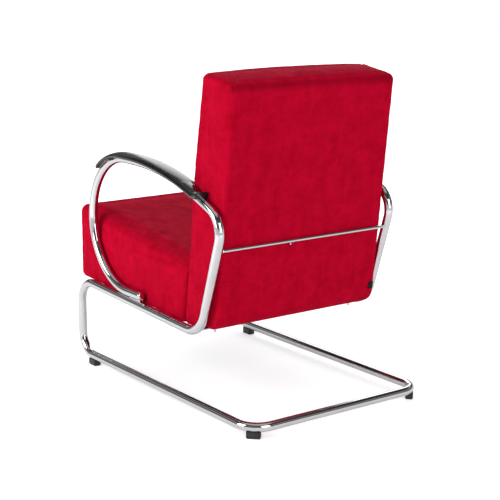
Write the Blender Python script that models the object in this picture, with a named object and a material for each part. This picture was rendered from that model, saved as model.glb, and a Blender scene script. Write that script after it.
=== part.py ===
"""Cantilever lounge armchair: bent steel tube, lacquered arm pads, upholstered seat and back.

Metres, +Z up. The sitter faces -Y, so the sitter's left is +X. The origin is on the floor, under
the middle of the bounding box. Every object hangs under one empty, which carries that shift.
"""
import math

import bmesh
import bpy
import numpy as np
from mathutils import Matrix, Vector

# ---- driving dimensions -------------------------------------------------------------------

GAP = 0.0003                  # clearance left between touching pieces

TUBE_D = 0.025                # main tube, outer diameter
TUBE_WALL = 0.002
TUBE_SIDES = 12
FRAME_W = 0.570               # between the centre lines of the two side loops
RUNNER_L = 0.863              # front leg centre to rear floor bar centre
RAIL_Z = 0.2342               # seat rail centre line where y is 0
RAIL_FALL = 0.045             # fall of the seat rail towards the rear, per metre
POST_FOOT_Y = 0.2032          # where the post line meets the seat rail line
POST_LEAN = 0.3285            # lean of the rear post, per metre of height
ARM_TOP_Z = 0.6467            # centre line at the highest part of the arm
ARM_FRONT_Y = -0.350          # foremost point of the arm's centre line
ARM_FLAT = 0.044              # level run behind the front arc
ARM_FALL = 0.40               # final fall of the arm towards the post
ARM_CROWN_R = 0.88            # long curve over the arm
ARM_TAIL_L = 0.066            # level tail behind the front arc, over the seat rail

FLOOR_CORNER_R = 0.060        # bends, all to the centre line
LOWER_FRONT_R = 0.060
UPPER_FRONT_R = 0.068
LOWER_REAR_R = 0.080
UPPER_REAR_R = 0.065
BEND_STEP = math.radians(18.0)
ARC_STEP = math.radians(11.3)
CROWN_STEP = math.radians(5.5)
FINE_STEP = math.radians(1.5)

SLEEVE_L = 0.120              # spigot inside the rear floor bar
CAP_SPIGOT_L = 0.014          # plug in the arm tube's free end
WEDGE_T = 0.008               # wedge between the arm tube's end and the seat rail

GLIDE_L = 0.037
GLIDE_W = 0.021
GLIDE_H = 0.0165              # height of the tube's underside over the floor
GLIDE_GRIP = 0.0040           # how far the glide's cheeks reach up the tube
GLIDE_FRONT_SET = 0.0665      # front glides behind the front leg's centre line
GLIDE_CORNER_ANGLE = math.radians(45.0)

PAD_W = 0.057
PAD_UNDER = 0.0035            # heights over the arm tube's centre line
PAD_EDGE = 0.0142
PAD_CROWN = 0.0178
PAD_LIP_RISE = 0.0110         # rise of the upturned rear end
PAD_LIP_L = 0.030
PAD_TIP_L = 0.016
PAD_TIP_ANGLE = math.radians(131.0)
PAD_END_Y = 0.217
PAD_STATION = 0.022
PAD_TO_BACK = 0.0010          # clearance where the pad is cut back beside the upholstery

TAB_L = 0.022
TAB_W = 0.0115
TAB_T = 0.0022
TAB_FRONT_Y = -0.220
TAB_REAR_Y = 0.085
PAD_SCREW_D = 0.0035
PAD_SCREW_HEAD_D = 0.0075
PAD_SCREW_L = 0.0115
PAD_SCREW_HEAD_H = 0.0018

ROD_D = 0.0095
ROD_BELOW_ARM = 0.1842        # the rod under the highest part of the arm
ROD_BEHIND_POST = 0.00506     # its centre behind the posts' centre lines
ROD_TO_BACK = 0.0010
ROD_CLIP_X = 0.054

SIDE_CLEAR = 0.0040           # upholstery to the inner face of the tube
COVER_T = 0.0025
SEAT_FRONT_Y = -0.468
SEAT_FRONT_TOP_Z = 0.4775
SEAT_TOP_FALL = 0.130
SEAT_BASE = -0.0030           # underside of the seat over the rail's centre line
SEAT_TO_BACK = 0.0020
SEAT_EDGE_R = 0.016
COVER_TURN = 0.030            # width of the cover turned under the frame
TIMBER_T = 0.040              # width of the frame timbers
SEAT_TIMBER_H = 0.055
SPRING_N = 4
SPRING_WIRE_D = 0.0035
SPRING_AMP = 0.020
SPRING_HALF_WAVES = 12
SPRING_SAMPLES = 3            # path points in each half wave
DUST_T = 0.0012
CROSS_BAR_W = 0.030
CROSS_BAR_T = 0.004
CROSS_BAR_FRONT_Y = -0.330
CROSS_BAR_REAR_Y = 0.045
SEAT_BOLT_D = 0.006
SEAT_BOLT_HEAD_D = 0.012
SEAT_BOLT_L = 0.026
SEAT_BOLT_INSET = 0.0095      # bolt to the edge of the turned-under cover

BACK_BASE_Z = 0.2385
BACK_FRONT_FOOT_Y = 0.0965    # front face where it meets the underside
BACK_FRONT_LEAN = 0.139
BACK_REAR_LEAN = 0.113
BACK_TOP_Z = 0.8870           # rear top edge
BACK_TOP_FALL = 0.170         # fall of the top face towards the rear
BACK_HEM_R = 0.045            # rounding of the lower rear edge
BACK_TOP_R = 0.014
BACK_SIDE_R = 0.010
BACK_TIMBER_H = 0.060
BACK_FOAM_T = 0.064
BACK_BOARD_T = 0.004
STRAP_N = 3
STRAP_W = 0.050
STRAP_T = 0.0016

BRACKET_T = 0.003
BRACKET_W = 0.024
BRACKET_REACH = 0.060
BRACKET_Y = 0.190
BACK_BOLT_D = 0.006
BACK_BOLT_HEAD_D = 0.013
BACK_BOLT_DROP = 0.014
BACK_BOLT_L = 0.022

LABEL_W = 0.016
LABEL_H = 0.020
LABEL_T = 0.0012

# ---- places that follow from them ---------------------------------------------------------

R = TUBE_D / 2
FLAT = R * math.cos(math.pi / TUBE_SIDES)
H = FRAME_W / 2
LEG_Y = -RUNNER_L / 2
ROD_Z = ARM_TOP_Z - ROD_BELOW_ARM
BAR_Y = RUNNER_L / 2
FLOOR_Z = GLIDE_H + R
HALF_W = H - R - SIDE_CLEAR
RAIL_LEN = math.hypot(1.0, RAIL_FALL)
SHIFT_Y = -(min(SEAT_FRONT_Y, LEG_Y - R) + BAR_Y + R) / 2


def rail_z(y):
    return RAIL_Z - RAIL_FALL * y


def seat_point(y, over):
    """A point over the seat rail's centre line, measured square to it."""
    return (y + over * RAIL_FALL / RAIL_LEN, rail_z(y) + over / RAIL_LEN)


def post_y(z):
    return POST_FOOT_Y + POST_LEAN * (z - rail_z(POST_FOOT_Y))


ROD_Y = post_y(ROD_Z) + ROD_BEHIND_POST
BACK_REAR_Y = ROD_Y - ROD_D / 2 - ROD_TO_BACK       # rear face of the back, at the rod
BACK_REAR_FOOT_Y = BACK_REAR_Y - BACK_REAR_LEAN * (ROD_Z - BACK_BASE_Z)


def back_front_y(z):
    return BACK_FRONT_FOOT_Y + BACK_FRONT_LEAN * (z - BACK_BASE_Z)


def back_rear_y(z):
    return BACK_REAR_FOOT_Y + BACK_REAR_LEAN * (z - BACK_BASE_Z)


def arm_arc_radius():
    """Radius of the front arc: level at the arm's top, and lying on the seat rail below."""
    span = ARM_TOP_Z - rail_z(ARM_FRONT_Y) - RAIL_LEN * (TUBE_D + GAP)
    return span / (RAIL_LEN + 1 - RAIL_FALL)


ARM_R = arm_arc_radius()
ARM_ARC_Y = ARM_FRONT_Y + ARM_R
ARM_ARC_Z = ARM_TOP_Z - ARM_R


def arm_corners():
    """Corner points and bend radii of one side loop in the YZ plane, from the arm's free end."""
    tail_z = ARM_ARC_Z - ARM_R
    half = math.atan(ARM_FALL) / 2
    brow = ARM_ARC_Y + ARM_FLAT + ARM_CROWN_R * math.tan(half)
    shoulder_y = (post_y(ARM_TOP_Z + ARM_FALL * brow)) / (1 + POST_LEAN * ARM_FALL)
    shoulder = (shoulder_y, ARM_TOP_Z - ARM_FALL * (shoulder_y - brow))
    return [
        ((ARM_ARC_Y + ARM_TAIL_L, tail_z), 0.0, ARC_STEP),
        ((ARM_FRONT_Y, tail_z), ARM_R, ARC_STEP),
        ((ARM_FRONT_Y, ARM_TOP_Z), ARM_R, ARC_STEP),
        ((brow, ARM_TOP_Z), ARM_CROWN_R, CROWN_STEP),
        (shoulder, UPPER_REAR_R, BEND_STEP),
        ((POST_FOOT_Y, rail_z(POST_FOOT_Y)), LOWER_REAR_R, BEND_STEP),
        ((LEG_Y, rail_z(LEG_Y)), UPPER_FRONT_R, BEND_STEP),
        ((LEG_Y, FLOOR_Z), LOWER_FRONT_R, BEND_STEP),
    ]


def bend_points(before, corner, after, radius, step):
    """Points round one bend, from tangent point to tangent point."""
    a = (before - corner).normalized()
    b = (after - corner).normalized()
    angle = a.angle(b)
    reach = radius / math.tan(angle / 2)
    centre = corner + (a + b).normalized() * (radius / math.sin(angle / 2))
    start = (corner + a * reach - centre) / radius
    side = (corner + b * reach - centre) / radius
    side = (side - start * side.dot(start)).normalized()
    turn = math.pi - angle
    count = max(3, math.ceil(turn / step - 1e-6))
    angles = [turn * i / count for i in range(count + 1)]
    return [centre + (start * math.cos(t) + side * math.sin(t)) * radius for t in angles]


def rounded_path(corners):
    """A polyline through corner points, with each corner replaced by its bend."""
    points = [corners[0][0]]
    for before, (corner, radius, step), after in zip(corners, corners[1:], corners[2:]):
        points += bend_points(before[0], corner, after[0], radius, step)
    points.append(corners[-1][0])
    kept = [points[0]]
    for p in points[1:]:
        if (p - kept[-1]).length > 1e-5:
            kept.append(p)
    return kept


def loop_path(side):
    """Centre line of one half of the frame: side is +1 for the sitter's left, -1 for the right."""
    corners = [(Vector((side * H, y, z)), radius, step) for (y, z), radius, step in arm_corners()]
    corners.append((Vector((side * H, BAR_Y, FLOOR_Z)), FLOOR_CORNER_R, BEND_STEP))
    corners.append((Vector((side * GAP / 2, BAR_Y, FLOOR_Z)), 0.0, BEND_STEP))
    return rounded_path(corners)


def arm_run(first_y, last_y, spacing):
    """Places along the arm's top: centre and upward normal, evenly spaced on the true curve."""
    corners = [(Vector((H, y, z)), radius, FINE_STEP) for (y, z), radius, _ in arm_corners()]
    line = rounded_path(corners[:6])
    line = [p for p in line if p.z > ARM_ARC_Z and first_y - 0.01 < p.y < last_y + 0.05]
    lengths = [0.0]
    for p, q in zip(line, line[1:]):
        lengths.append(lengths[-1] + (q - p).length)
    ys, zs = [p.y for p in line], [p.z for p in line]
    start, end = np.interp([first_y, last_y], ys, lengths)
    count = round((end - start) / spacing)
    places = []
    for s in np.linspace(start, end, count + 1):
        y, y_ahead = np.interp([s, s + 0.002], lengths, ys)
        z, z_ahead = np.interp([s, s + 0.002], lengths, zs)
        tangent = Vector((0, y_ahead - y, z_ahead - z)).normalized()
        places.append((Vector((H, y, z)), Vector((0, -tangent.z, tangent.y)), s - start))
    return places


def arm_place(y):
    """Centre, forward-to-rear tangent and upward normal on the top run of the arm, at y."""
    top = [p for p in ARM_LINE if p.z > ARM_ARC_Z and p.y < post_y(ARM_TOP_Z)]
    for p, q in zip(top, top[1:]):
        if p.y <= y <= q.y:
            tangent = (q - p).normalized()
            centre = p.lerp(q, (y - p.y) / (q.y - p.y))
            return centre, tangent, Vector((0, -tangent.z, tangent.y))
    raise ValueError("no arm at that place")


# ---- building blocks ----------------------------------------------------------------------

def clear_scene():
    for ob in list(bpy.data.objects):
        bpy.data.objects.remove(ob, do_unlink=True)


def make_material(name, colour, roughness, metallic):
    material = bpy.data.materials.new(name)
    material.use_nodes = True
    shader = material.node_tree.nodes["Principled BSDF"]
    shader.inputs["Base Color"].default_value = (*colour, 1.0)
    shader.inputs["Roughness"].default_value = roughness
    shader.inputs["Metallic"].default_value = metallic
    return material


def put(name, bm, material, smooth_angle=None):
    """Turn a bmesh into a named object under the chair's empty."""
    bmesh.ops.recalc_face_normals(bm, faces=bm.faces)
    mesh = bpy.data.meshes.new(name)
    bm.to_mesh(mesh)
    bm.free()
    mesh.materials.append(material)
    if smooth_angle is not None:
        mesh.shade_smooth()
        mesh.set_sharp_from_angle(angle=math.radians(smooth_angle))
    ob = bpy.data.objects.new(name, mesh)
    bpy.context.collection.objects.link(ob)
    ob.parent = CHAIR
    return ob


def cutter(name, bm):
    ob = put(name, bm, STEEL)
    ob.hide_render = True
    ob.display_type = 'WIRE'
    return ob


def cut(ob, tool):
    modifier = ob.modifiers.new("cut", 'BOOLEAN')
    modifier.operation = 'DIFFERENCE'
    modifier.solver = 'EXACT'
    modifier.object = tool


def ring(bm, centre, axis, radius, sides, spin=0.0):
    """A ring of vertices square to axis; axis is horizontal or in the YZ plane."""
    axis = axis.normalized()
    across = Vector((1, 0, 0)) if abs(axis.x) < 0.9 else Vector((0, 1, 0))
    up = axis.cross(across).normalized()
    across = up.cross(axis).normalized()
    turns = [spin + 2 * math.pi * (k + 0.5) / sides for k in range(sides)]
    return [bm.verts.new(centre + (across * math.cos(t) + up * math.sin(t)) * radius)
            for t in turns]


def bridge(bm, first, second):
    count = len(first)
    for k in range(count):
        bm.faces.new((first[k], first[(k + 1) % count], second[(k + 1) % count], second[k]))


def carried_frames(points):
    """Tangents and a side direction carried along a path without twist."""
    tangents = []
    for i in range(len(points)):
        before = points[max(i - 1, 0)]
        after = points[min(i + 1, len(points) - 1)]
        into = (points[i] - before).normalized() if i else Vector()
        out = (after - points[i]).normalized() if i < len(points) - 1 else Vector()
        tangents.append((into + out).normalized())
    start = Vector((1, 0, 0)) if abs(tangents[0].x) < 0.9 else Vector((0, 0, 1))
    side = (start - tangents[0] * start.dot(tangents[0])).normalized()
    sides = []
    for i, tangent in enumerate(tangents):
        if i:
            side = tangents[i - 1].rotation_difference(tangent) @ side
        side = (side - tangent * side.dot(tangent)).normalized()
        sides.append(side)
    return tangents, sides


def path_rings(bm, points, radius, sides):
    """Rings along a path. Rings on a bend are widened so that the tube keeps its size."""
    tangents, across = carried_frames(points)
    rings = []
    for i, (point, tangent, side) in enumerate(zip(points, tangents, across)):
        up = tangent.cross(side)
        stretch, bend = 1.0, None
        if 0 < i < len(points) - 1:
            into = (points[i] - points[i - 1]).normalized()
            out = (points[i + 1] - points[i]).normalized()
            half = into.angle(out, 0.0) / 2
            if half > 1e-4:
                stretch = 1 / math.cos(half)
                bend = (out - into).normalized()
        verts = []
        for k in range(sides):
            t = 2 * math.pi * (k + 0.5) / sides
            offset = (side * math.cos(t) + up * math.sin(t)) * radius
            if bend:
                offset += bend * offset.dot(bend) * (stretch - 1)
            verts.append(bm.verts.new(point + offset))
        rings.append(verts)
    return rings


def sweep(points, radius, sides):
    """A solid bar of round section along a path."""
    bm = bmesh.new()
    rings = path_rings(bm, points, radius, sides)
    for first, second in zip(rings, rings[1:]):
        bridge(bm, first, second)
    bm.faces.new(rings[0])
    bm.faces.new(rings[-1])
    return bm


def hollow_sweep(points, radius, wall, sides):
    """A tube along a path, open at both ends."""
    bm = bmesh.new()
    outer = path_rings(bm, points, radius, sides)
    inner = path_rings(bm, points, radius - wall, sides)
    for first, second in zip(outer, outer[1:]):
        bridge(bm, first, second)
    for first, second in zip(inner, inner[1:]):
        bridge(bm, first, second)
    bridge(bm, outer[0], inner[0])
    bridge(bm, outer[-1], inner[-1])
    return bm


def turned(centre, axis, profile, sides):
    """A solid turned round axis from (distance along, radius) pairs."""
    bm = bmesh.new()
    axis = axis.normalized()
    rings = [ring(bm, centre + axis * along, axis, radius, sides) for along, radius in profile]
    for first, second in zip(rings, rings[1:]):
        bridge(bm, first, second)
    bm.faces.new(rings[0])
    bm.faces.new(rings[-1])
    return bm


def prism(outline, x0, x1):
    """A solid with its outline given as (y, z) points and extruded from x0 to x1."""
    bm = bmesh.new()
    low = [bm.verts.new((x0, y, z)) for y, z in outline]
    high = [bm.verts.new((x1, y, z)) for y, z in outline]
    bm.faces.new(low)
    bm.faces.new(high)
    bridge(bm, low, high)
    return bm


def rounded_outline(corners):
    """A closed (y, z) outline from (point, radius) corners, with each rounded in four steps."""
    points = []
    count = len(corners)
    for i, (corner, radius) in enumerate(corners):
        before = Vector((0, *corners[i - 1][0]))
        here = Vector((0, *corner))
        after = Vector((0, *corners[(i + 1) % count][0]))
        if radius > 0:
            turn = math.pi - (before - here).angle(after - here)
            points += bend_points(before, here, after, radius, turn / 4)
        else:
            points.append(here)
    return [(p.y, p.z) for p in points]


def soft_block(outline, radii, half_width, edge):
    """A block whose outline shrinks towards its two ends, so that every edge is rounded.

    outline(inset) gives the corners of the outline, moved in by inset."""
    bm = bmesh.new()
    turns = [math.pi / 4 * k for k in range(3)]
    places = [(half_width - edge * (1 - math.cos(t)), edge * (1 - math.sin(t))) for t in turns]
    places = [(-x, inset) for x, inset in places] + places[::-1]
    rings = []
    for x, inset in places:
        corners = [(c, max(r - inset, 0.0004)) for c, r in zip(outline(inset), radii)]
        rings.append([bm.verts.new((x, y, z)) for y, z in rounded_outline(corners)])
    for first, second in zip(rings, rings[1:]):
        bridge(bm, first, second)
    bm.faces.new(rings[0])
    bm.faces.new(rings[-1])
    return bm


# ---- the steel frame ----------------------------------------------------------------------

def make_frame_tubes():
    for side, name in SIDES:
        bm = hollow_sweep(LOOPS[side], R, TUBE_WALL, TUBE_SIDES)
        put(f"frame_tube_{name}", bm, CHROME, 40)


def make_joint_sleeve():
    """Spigot that joins the two halves inside the rear floor bar."""
    ends = [Vector((s * SLEEVE_L / 2, BAR_Y, FLOOR_Z)) for s in (-1, 1)]
    bore = (R - TUBE_WALL) * math.cos(math.pi / TUBE_SIDES)
    bm = hollow_sweep(ends, bore - GAP, TUBE_WALL, TUBE_SIDES)
    put("frame_joint_sleeve", bm, STEEL, 40)


def make_arm_end_caps():
    """Domed plug in the free end of each arm tube."""
    bore = (R - TUBE_WALL) * math.cos(math.pi / TUBE_SIDES) - GAP
    dome = [(GAP + R * 0.45 * math.sin(t), R * math.cos(t) ** 0.5)
            for t in np.linspace(0, math.pi / 2 * 0.93, 5)]
    for side, name in SIDES:
        end, after = LOOPS[side][0], LOOPS[side][1]
        profile = [(-CAP_SPIGOT_L, bore), (GAP, bore)] + [(a, r) for a, r in dome]
        put(f"arm_end_cap_{name}", turned(end, end - after, profile, TUBE_SIDES), CHROME, 50)


def make_arm_wedges():
    """Filler plate, fixed between the arm's free end and the seat rail under it."""
    tail, foot = LOOPS[1][0], LOOPS[1][1]
    run = (tail - foot).normalized()
    under = Vector((0, run.z, -run.y)) * (FLAT + GAP)
    start = foot.lerp(tail, 0.15)
    top = [start + under, tail + under]
    base = [seat_point(p.y, FLAT + GAP) for p in top]
    outline = [(top[0].y, top[0].z), (top[1].y, top[1].z), base[1], base[0]]
    for side, name in SIDES:
        x = side * H
        put(f"arm_wedge_{name}", prism(outline, x - WEDGE_T / 2, x + WEDGE_T / 2), STEEL)


def make_cross_bars():
    """Flat bars between the seat rails, which carry the seat frame."""
    low = SEAT_BASE - GAP - CROSS_BAR_T
    reach = H - FLAT - GAP
    for y, name in ((CROSS_BAR_FRONT_Y, "front"), (CROSS_BAR_REAR_Y, "rear")):
        edges = (y - CROSS_BAR_W / 2, y + CROSS_BAR_W / 2)
        outline = [seat_point(edges[0], low), seat_point(edges[1], low),
                   seat_point(edges[1], low + CROSS_BAR_T), seat_point(edges[0], low + CROSS_BAR_T)]
        bar = put(f"seat_cross_bar_{name}", prism(outline, -reach, reach), STEEL)
        for x in (-SEAT_BOLT_X, SEAT_BOLT_X):
            cut(bar, bolt_hole(f"cut_bar_{name}_{x:.3f}", x, y))


def bolt_hole(name, x, y):
    """Cutter for a seat bolt's clearance hole."""
    start = Vector((x, *seat_point(y, SEAT_BASE - 2 * CROSS_BAR_T)))
    axis = Vector((0, RAIL_FALL, 1)).normalized()
    depth = 2 * CROSS_BAR_T + SEAT_BOLT_L
    return cutter(name, turned(start, axis, [(0, BOLT_HOLE_R), (depth, BOLT_HOLE_R)], 10))


def make_back_rod():
    """Round rod behind the back, between the two posts."""
    reach = H - FLAT - GAP
    ends = [Vector((-reach, ROD_Y, ROD_Z)), Vector((reach, ROD_Y, ROD_Z))]
    put("back_rod", sweep(ends, ROD_D / 2, 12), CHROME, 40)
    top = ROD_Z - ROD_D / 2 - GAP
    profile = [(0, 0.0022), (0.0045, 0.0028), (0.0052, 0.0018)]
    nib = turned(Vector((ROD_CLIP_X, ROD_Y, top)), Vector((0, 0, -1)), profile, 8)
    put("rod_stop", nib, CHROME, 40)


# ---- glides under the floor runners -------------------------------------------------------

def glide_places():
    corner = Vector((H - FLOOR_CORNER_R, BAR_Y - FLOOR_CORNER_R, FLOOR_Z))
    a = GLIDE_CORNER_ANGLE
    on_bend = corner + Vector((math.cos(a), math.sin(a), 0)) * FLOOR_CORNER_R
    return (("front", Vector((H, LEG_Y + GLIDE_FRONT_SET, FLOOR_Z)), 0.0), ("rear", on_bend, a))


def make_glides():
    """Moulded block under the tube, clipped to it."""
    for side, name in SIDES:
        for place, centre, turn in glide_places():
            block = bmesh.new()
            height = GLIDE_H + GLIDE_GRIP
            bmesh.ops.create_cube(block, size=1.0)
            bmesh.ops.scale(block, vec=(GLIDE_W, GLIDE_L, height), verts=block.verts)
            bmesh.ops.bevel(block, geom=list(block.edges), offset=0.0020, segments=2,
                            affect='EDGES')
            move = Matrix.Translation((side * centre.x, centre.y, height / 2))
            bmesh.ops.transform(block, matrix=move @ Matrix.Rotation(side * turn, 4, 'Z'),
                                verts=block.verts)
            glide = put(f"glide_{place}_{name}", block, BLACK_PLASTIC, 30)
            cut(glide, TUBE_TOOLS[side])


# ---- arm pads -----------------------------------------------------------------------------

def pad_section(from_tip, from_end):
    """Section of the pad as (across, height) points, seen along the arm."""
    ease = min(from_tip / PAD_TIP_L, 1.0)
    tip = math.sqrt(max(1 - (1 - ease) ** 2, 0.0))
    half = PAD_W / 2 * (0.62 + 0.38 * tip)
    lift = PAD_LIP_RISE * max(1 - from_end / PAD_LIP_L, 0.0) ** 2
    under = PAD_UNDER + 0.003 * (1 - tip)
    edge = PAD_EDGE - 0.002 * (1 - tip) + lift
    crown = edge + (PAD_CROWN - PAD_EDGE) * tip
    across = [-half + 2 * half * k / 6 for k in range(7)]
    top = [(x, edge + (crown - edge) * (1 - (x / half) ** 2)) for x in across]
    return [(half, under), (-half, under)] + top


def back_clearance(name):
    """Cutter for what stands beside the back, to keep that clear of the upholstery."""
    grow = -PAD_TO_BACK
    outline = back_corners(grow, BACK_BASE_Z, BACK_TOP_Z)
    reach = HALF_W + PAD_TO_BACK
    return cutter(name, prism(outline, -reach, reach))


def make_pads():
    """Lacquered hardwood pad over the arm tube, grooved underneath to sit on it."""
    tip_y = ARM_ARC_Y + ARM_R * math.cos(PAD_TIP_ANGLE)
    places = arm_run(tip_y, PAD_END_Y, PAD_STATION)
    clearance = back_clearance("cut_beside_back")
    for side, name in SIDES:
        bm = bmesh.new()
        rings = []
        for centre, normal, s in places:
            section = pad_section(s, places[-1][2] - s)
            rings.append([bm.verts.new((side * H + x, *(centre + normal * n).yz))
                          for x, n in section])
        for first, second in zip(rings, rings[1:]):
            bridge(bm, first, second)
        bm.faces.new(rings[0])
        bm.faces.new(rings[-1])
        pad = put(f"arm_pad_{name}", bm, BLACK_LACQUER, 35)
        cut(pad, TUBE_TOOLS[side])
        cut(pad, clearance)
        for place, y, out in (("front", TAB_FRONT_Y, side), ("rear", TAB_REAR_Y, -side)):
            make_tab(pad, side, out, y, f"{name}_{place}")


def make_tab(pad, side, out, y, tag):
    """Steel tab on the side of the arm tube, and the screw that goes up through it."""
    centre, tangent, normal = arm_place(y)
    centre = Vector((side * H, centre.y, centre.z))
    inner, outer = FLAT + GAP, R + GAP + TAB_W
    top = PAD_UNDER - 2 * GAP - (TAB_L ** 2 + PAD_STATION ** 2) / (8 * ARM_R)
    bm = bmesh.new()
    corners = []
    for n in (top - TAB_T, top):
        for x, s in ((inner, -1), (outer, -1), (outer, 1), (inner, 1)):
            spot = centre + Vector((out * x, 0, 0)) + tangent * (s * TAB_L / 2) + normal * n
            corners.append(bm.verts.new(spot))
    bm.faces.new(corners[:4])
    bm.faces.new(corners[4:])
    bridge(bm, corners[:4], corners[4:])
    tab = put(f"pad_tab_{tag}", bm, BLACK_PLASTIC)
    foot = centre + Vector((out * (inner + outer) / 2, 0, 0)) + normal * (top - TAB_T - GAP)
    head, shank = PAD_SCREW_HEAD_D / 2, PAD_SCREW_D / 2
    screw = [(-PAD_SCREW_HEAD_H, head * 0.7), (-PAD_SCREW_HEAD_H * 0.4, head), (0, head),
             (0, shank), (PAD_SCREW_L, shank * 0.6)]
    put(f"pad_screw_{tag}", turned(foot, normal, screw, 10), STEEL, 40)
    hole = [(GAP / 2, shank + GAP), (PAD_SCREW_L + GAP, shank + GAP)]
    tool = cutter(f"cut_screw_{tag}", turned(foot, normal, hole, 10))
    cut(tab, tool)
    cut(pad, tool)


# ---- the seat -----------------------------------------------------------------------------

def seat_corners(inset, low, high=None):
    """Outline of the seat in the YZ plane, inset all round, between two heights over the rail.

    With no upper height, the outline goes up to the sloping top."""
    front = SEAT_FRONT_Y + inset
    bottom_front = seat_point(front, low)
    rear_at = back_front_y
    if high is None:
        def top(y):
            return SEAT_FRONT_TOP_Z - inset - SEAT_TOP_FALL * (y - SEAT_FRONT_Y)
        y = meet_back(top, inset)
        top_front, top_rear = (front, top(front)), (y, top(y))
    else:
        y = meet_back(lambda v: seat_point(v, high)[1], inset)
        top_front, top_rear = seat_point(front, high), (y, seat_point(y, high)[1])
    y = meet_back(lambda v: seat_point(v, low)[1], inset)
    bottom_rear = (rear_at(seat_point(y, low)[1]) - SEAT_TO_BACK - inset, seat_point(y, low)[1])
    return [bottom_front, bottom_rear, top_rear, top_front]


def meet_back(height, inset):
    """The y at which a surface reaches the front face of the back, less the clearance."""
    y = BACK_FRONT_FOOT_Y
    for _ in range(30):
        y = back_front_y(height(y)) - SEAT_TO_BACK - inset
    return y


def ring_prism(outer, inner, x_outer, x_inner, name, material):
    """A frame: an outer prism with an inner one cut out of it."""
    ob = put(name, prism(outer, -x_outer, x_outer), material)
    cut(ob, cutter(f"cut_{name}", prism(inner, -x_inner, x_inner)))
    return ob


def make_seat_cover():
    """Velvet cover over the top and sides, turned under the timber frame all round."""
    radii = (SEAT_EDGE_R, 0.003, SEAT_EDGE_R, SEAT_EDGE_R)
    block = soft_block(lambda i: seat_corners(i, SEAT_BASE + i), radii, HALF_W, SEAT_EDGE_R)
    cover = put("seat_cover", block, VELVET, 40)
    inner = [r - COVER_T for r in radii]
    hollow = soft_block(lambda i: seat_corners(COVER_T + i, SEAT_BASE + COVER_T + i), inner,
                        HALF_W - COVER_T, SEAT_EDGE_R - COVER_T)
    cut(cover, cutter("cut_seat_cavity", hollow))
    mouth = seat_corners(COVER_TURN, SEAT_BASE - 0.01, SEAT_BASE + 0.01)
    cut(cover, cutter("cut_seat_mouth", prism(mouth, -HALF_W + COVER_TURN, HALF_W - COVER_TURN)))


def make_seat_inside():
    """Timber frame, sinuous springs and foam block inside the cover, and the cloth below."""
    inset = COVER_T + GAP + SEAT_EDGE_R
    low = SEAT_BASE + COVER_T + GAP
    high = low + SEAT_TIMBER_H
    outer = seat_corners(inset, low, high)
    inner = seat_corners(inset + TIMBER_T, low - 0.01, high + 0.01)
    x_outer = HALF_W - inset
    frame = ring_prism(outer, inner, x_outer, x_outer - TIMBER_T, "seat_timber_frame", TIMBER)
    start = high + SPRING_WIRE_D + 3 * GAP
    inset = COVER_T + GAP
    edge = SEAT_EDGE_R - inset
    foam = soft_block(lambda i: seat_corners(inset + i, start + i), (0.002, 0.002, edge, edge),
                      HALF_W - inset, edge)
    put("seat_foam", foam, FOAM)
    mouth = seat_corners(COVER_TURN + GAP, SEAT_BASE, SEAT_BASE + DUST_T)
    reach = HALF_W - COVER_TURN - GAP
    cloth = put("seat_dust_cloth", prism(mouth, -reach, reach), BLACK_CLOTH)
    for y, place in ((CROSS_BAR_FRONT_Y, "front"), (CROSS_BAR_REAR_Y, "rear")):
        for side, name in SIDES:
            make_seat_bolt(frame, cloth, side, y, f"{place}_{name}")
    make_springs(outer, high)


def make_seat_bolt(frame, cloth, side, y, tag):
    """Bolt up through the cross bar, and into the side timber of the seat frame."""
    x = side * SEAT_BOLT_X
    tool = bolt_hole(f"cut_bolt_{tag}", x, y)
    cut(frame, tool)
    cut(cloth, tool)
    start = Vector((x, *seat_point(y, SEAT_BASE - GAP - CROSS_BAR_T - GAP)))
    axis = Vector((0, RAIL_FALL, 1)).normalized()
    profile = [(-0.0035, SEAT_BOLT_HEAD_D / 2), (0, SEAT_BOLT_HEAD_D / 2),
               (0, SEAT_BOLT_D / 2), (SEAT_BOLT_L, SEAT_BOLT_D / 2)]
    put(f"seat_bolt_{tag}", turned(start, axis, profile, 6), ZINC)


def make_springs(outer, high):
    """Sinuous springs from the front timber to the rear one, resting on both."""
    y0 = outer[3][0] + TIMBER_T * 0.4
    y1 = outer[2][0] - TIMBER_T * 0.4
    rise = high + SPRING_WIRE_D / 2 + GAP
    spacing = 2 * (HALF_W - TIMBER_T) / SPRING_N
    wave = (y1 - y0) / SPRING_HALF_WAVES
    for n in range(SPRING_N):
        middle = (n - (SPRING_N - 1) / 2) * spacing
        points = []
        for i in range(SPRING_HALF_WAVES * SPRING_SAMPLES + 1):
            y = y0 + wave * i / SPRING_SAMPLES
            x = middle + SPRING_AMP * math.sin(math.pi * i / SPRING_SAMPLES)
            points.append(Vector((x, *seat_point(y, rise))))
        put(f"seat_spring_{n + 1}", sweep(points, SPRING_WIRE_D / 2, 4), STEEL)


# ---- the back -----------------------------------------------------------------------------

def back_corners(inset, low, high=None, front=0.0, rear=0.0):
    """Outline of the back in the YZ plane: inset all round, then moved in at front and rear.

    low and high are heights; with no high, the outline goes up to the sloping top."""
    def front_y(z):
        return back_front_y(z) + inset + front

    def rear_y(z):
        return back_rear_y(z) - inset - rear
    if high is not None:
        return [(front_y(low), low), (rear_y(low), low), (rear_y(high), high),
                (front_y(high), high)]
    rear_top = BACK_TOP_Z - inset
    z = rear_top
    for _ in range(30):
        z = rear_top + BACK_TOP_FALL * (rear_y(rear_top) - front_y(z))
    return [(front_y(low), low), (rear_y(low), low), (rear_y(rear_top), rear_top), (front_y(z), z)]


def slab(face, low, high, start, end):
    """Outline of a layer that follows one face of the back, between two depths from it."""
    return [(face(low) + start, low), (face(low) + end, low), (face(high) + end, high),
            (face(high) + start, high)]


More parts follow.
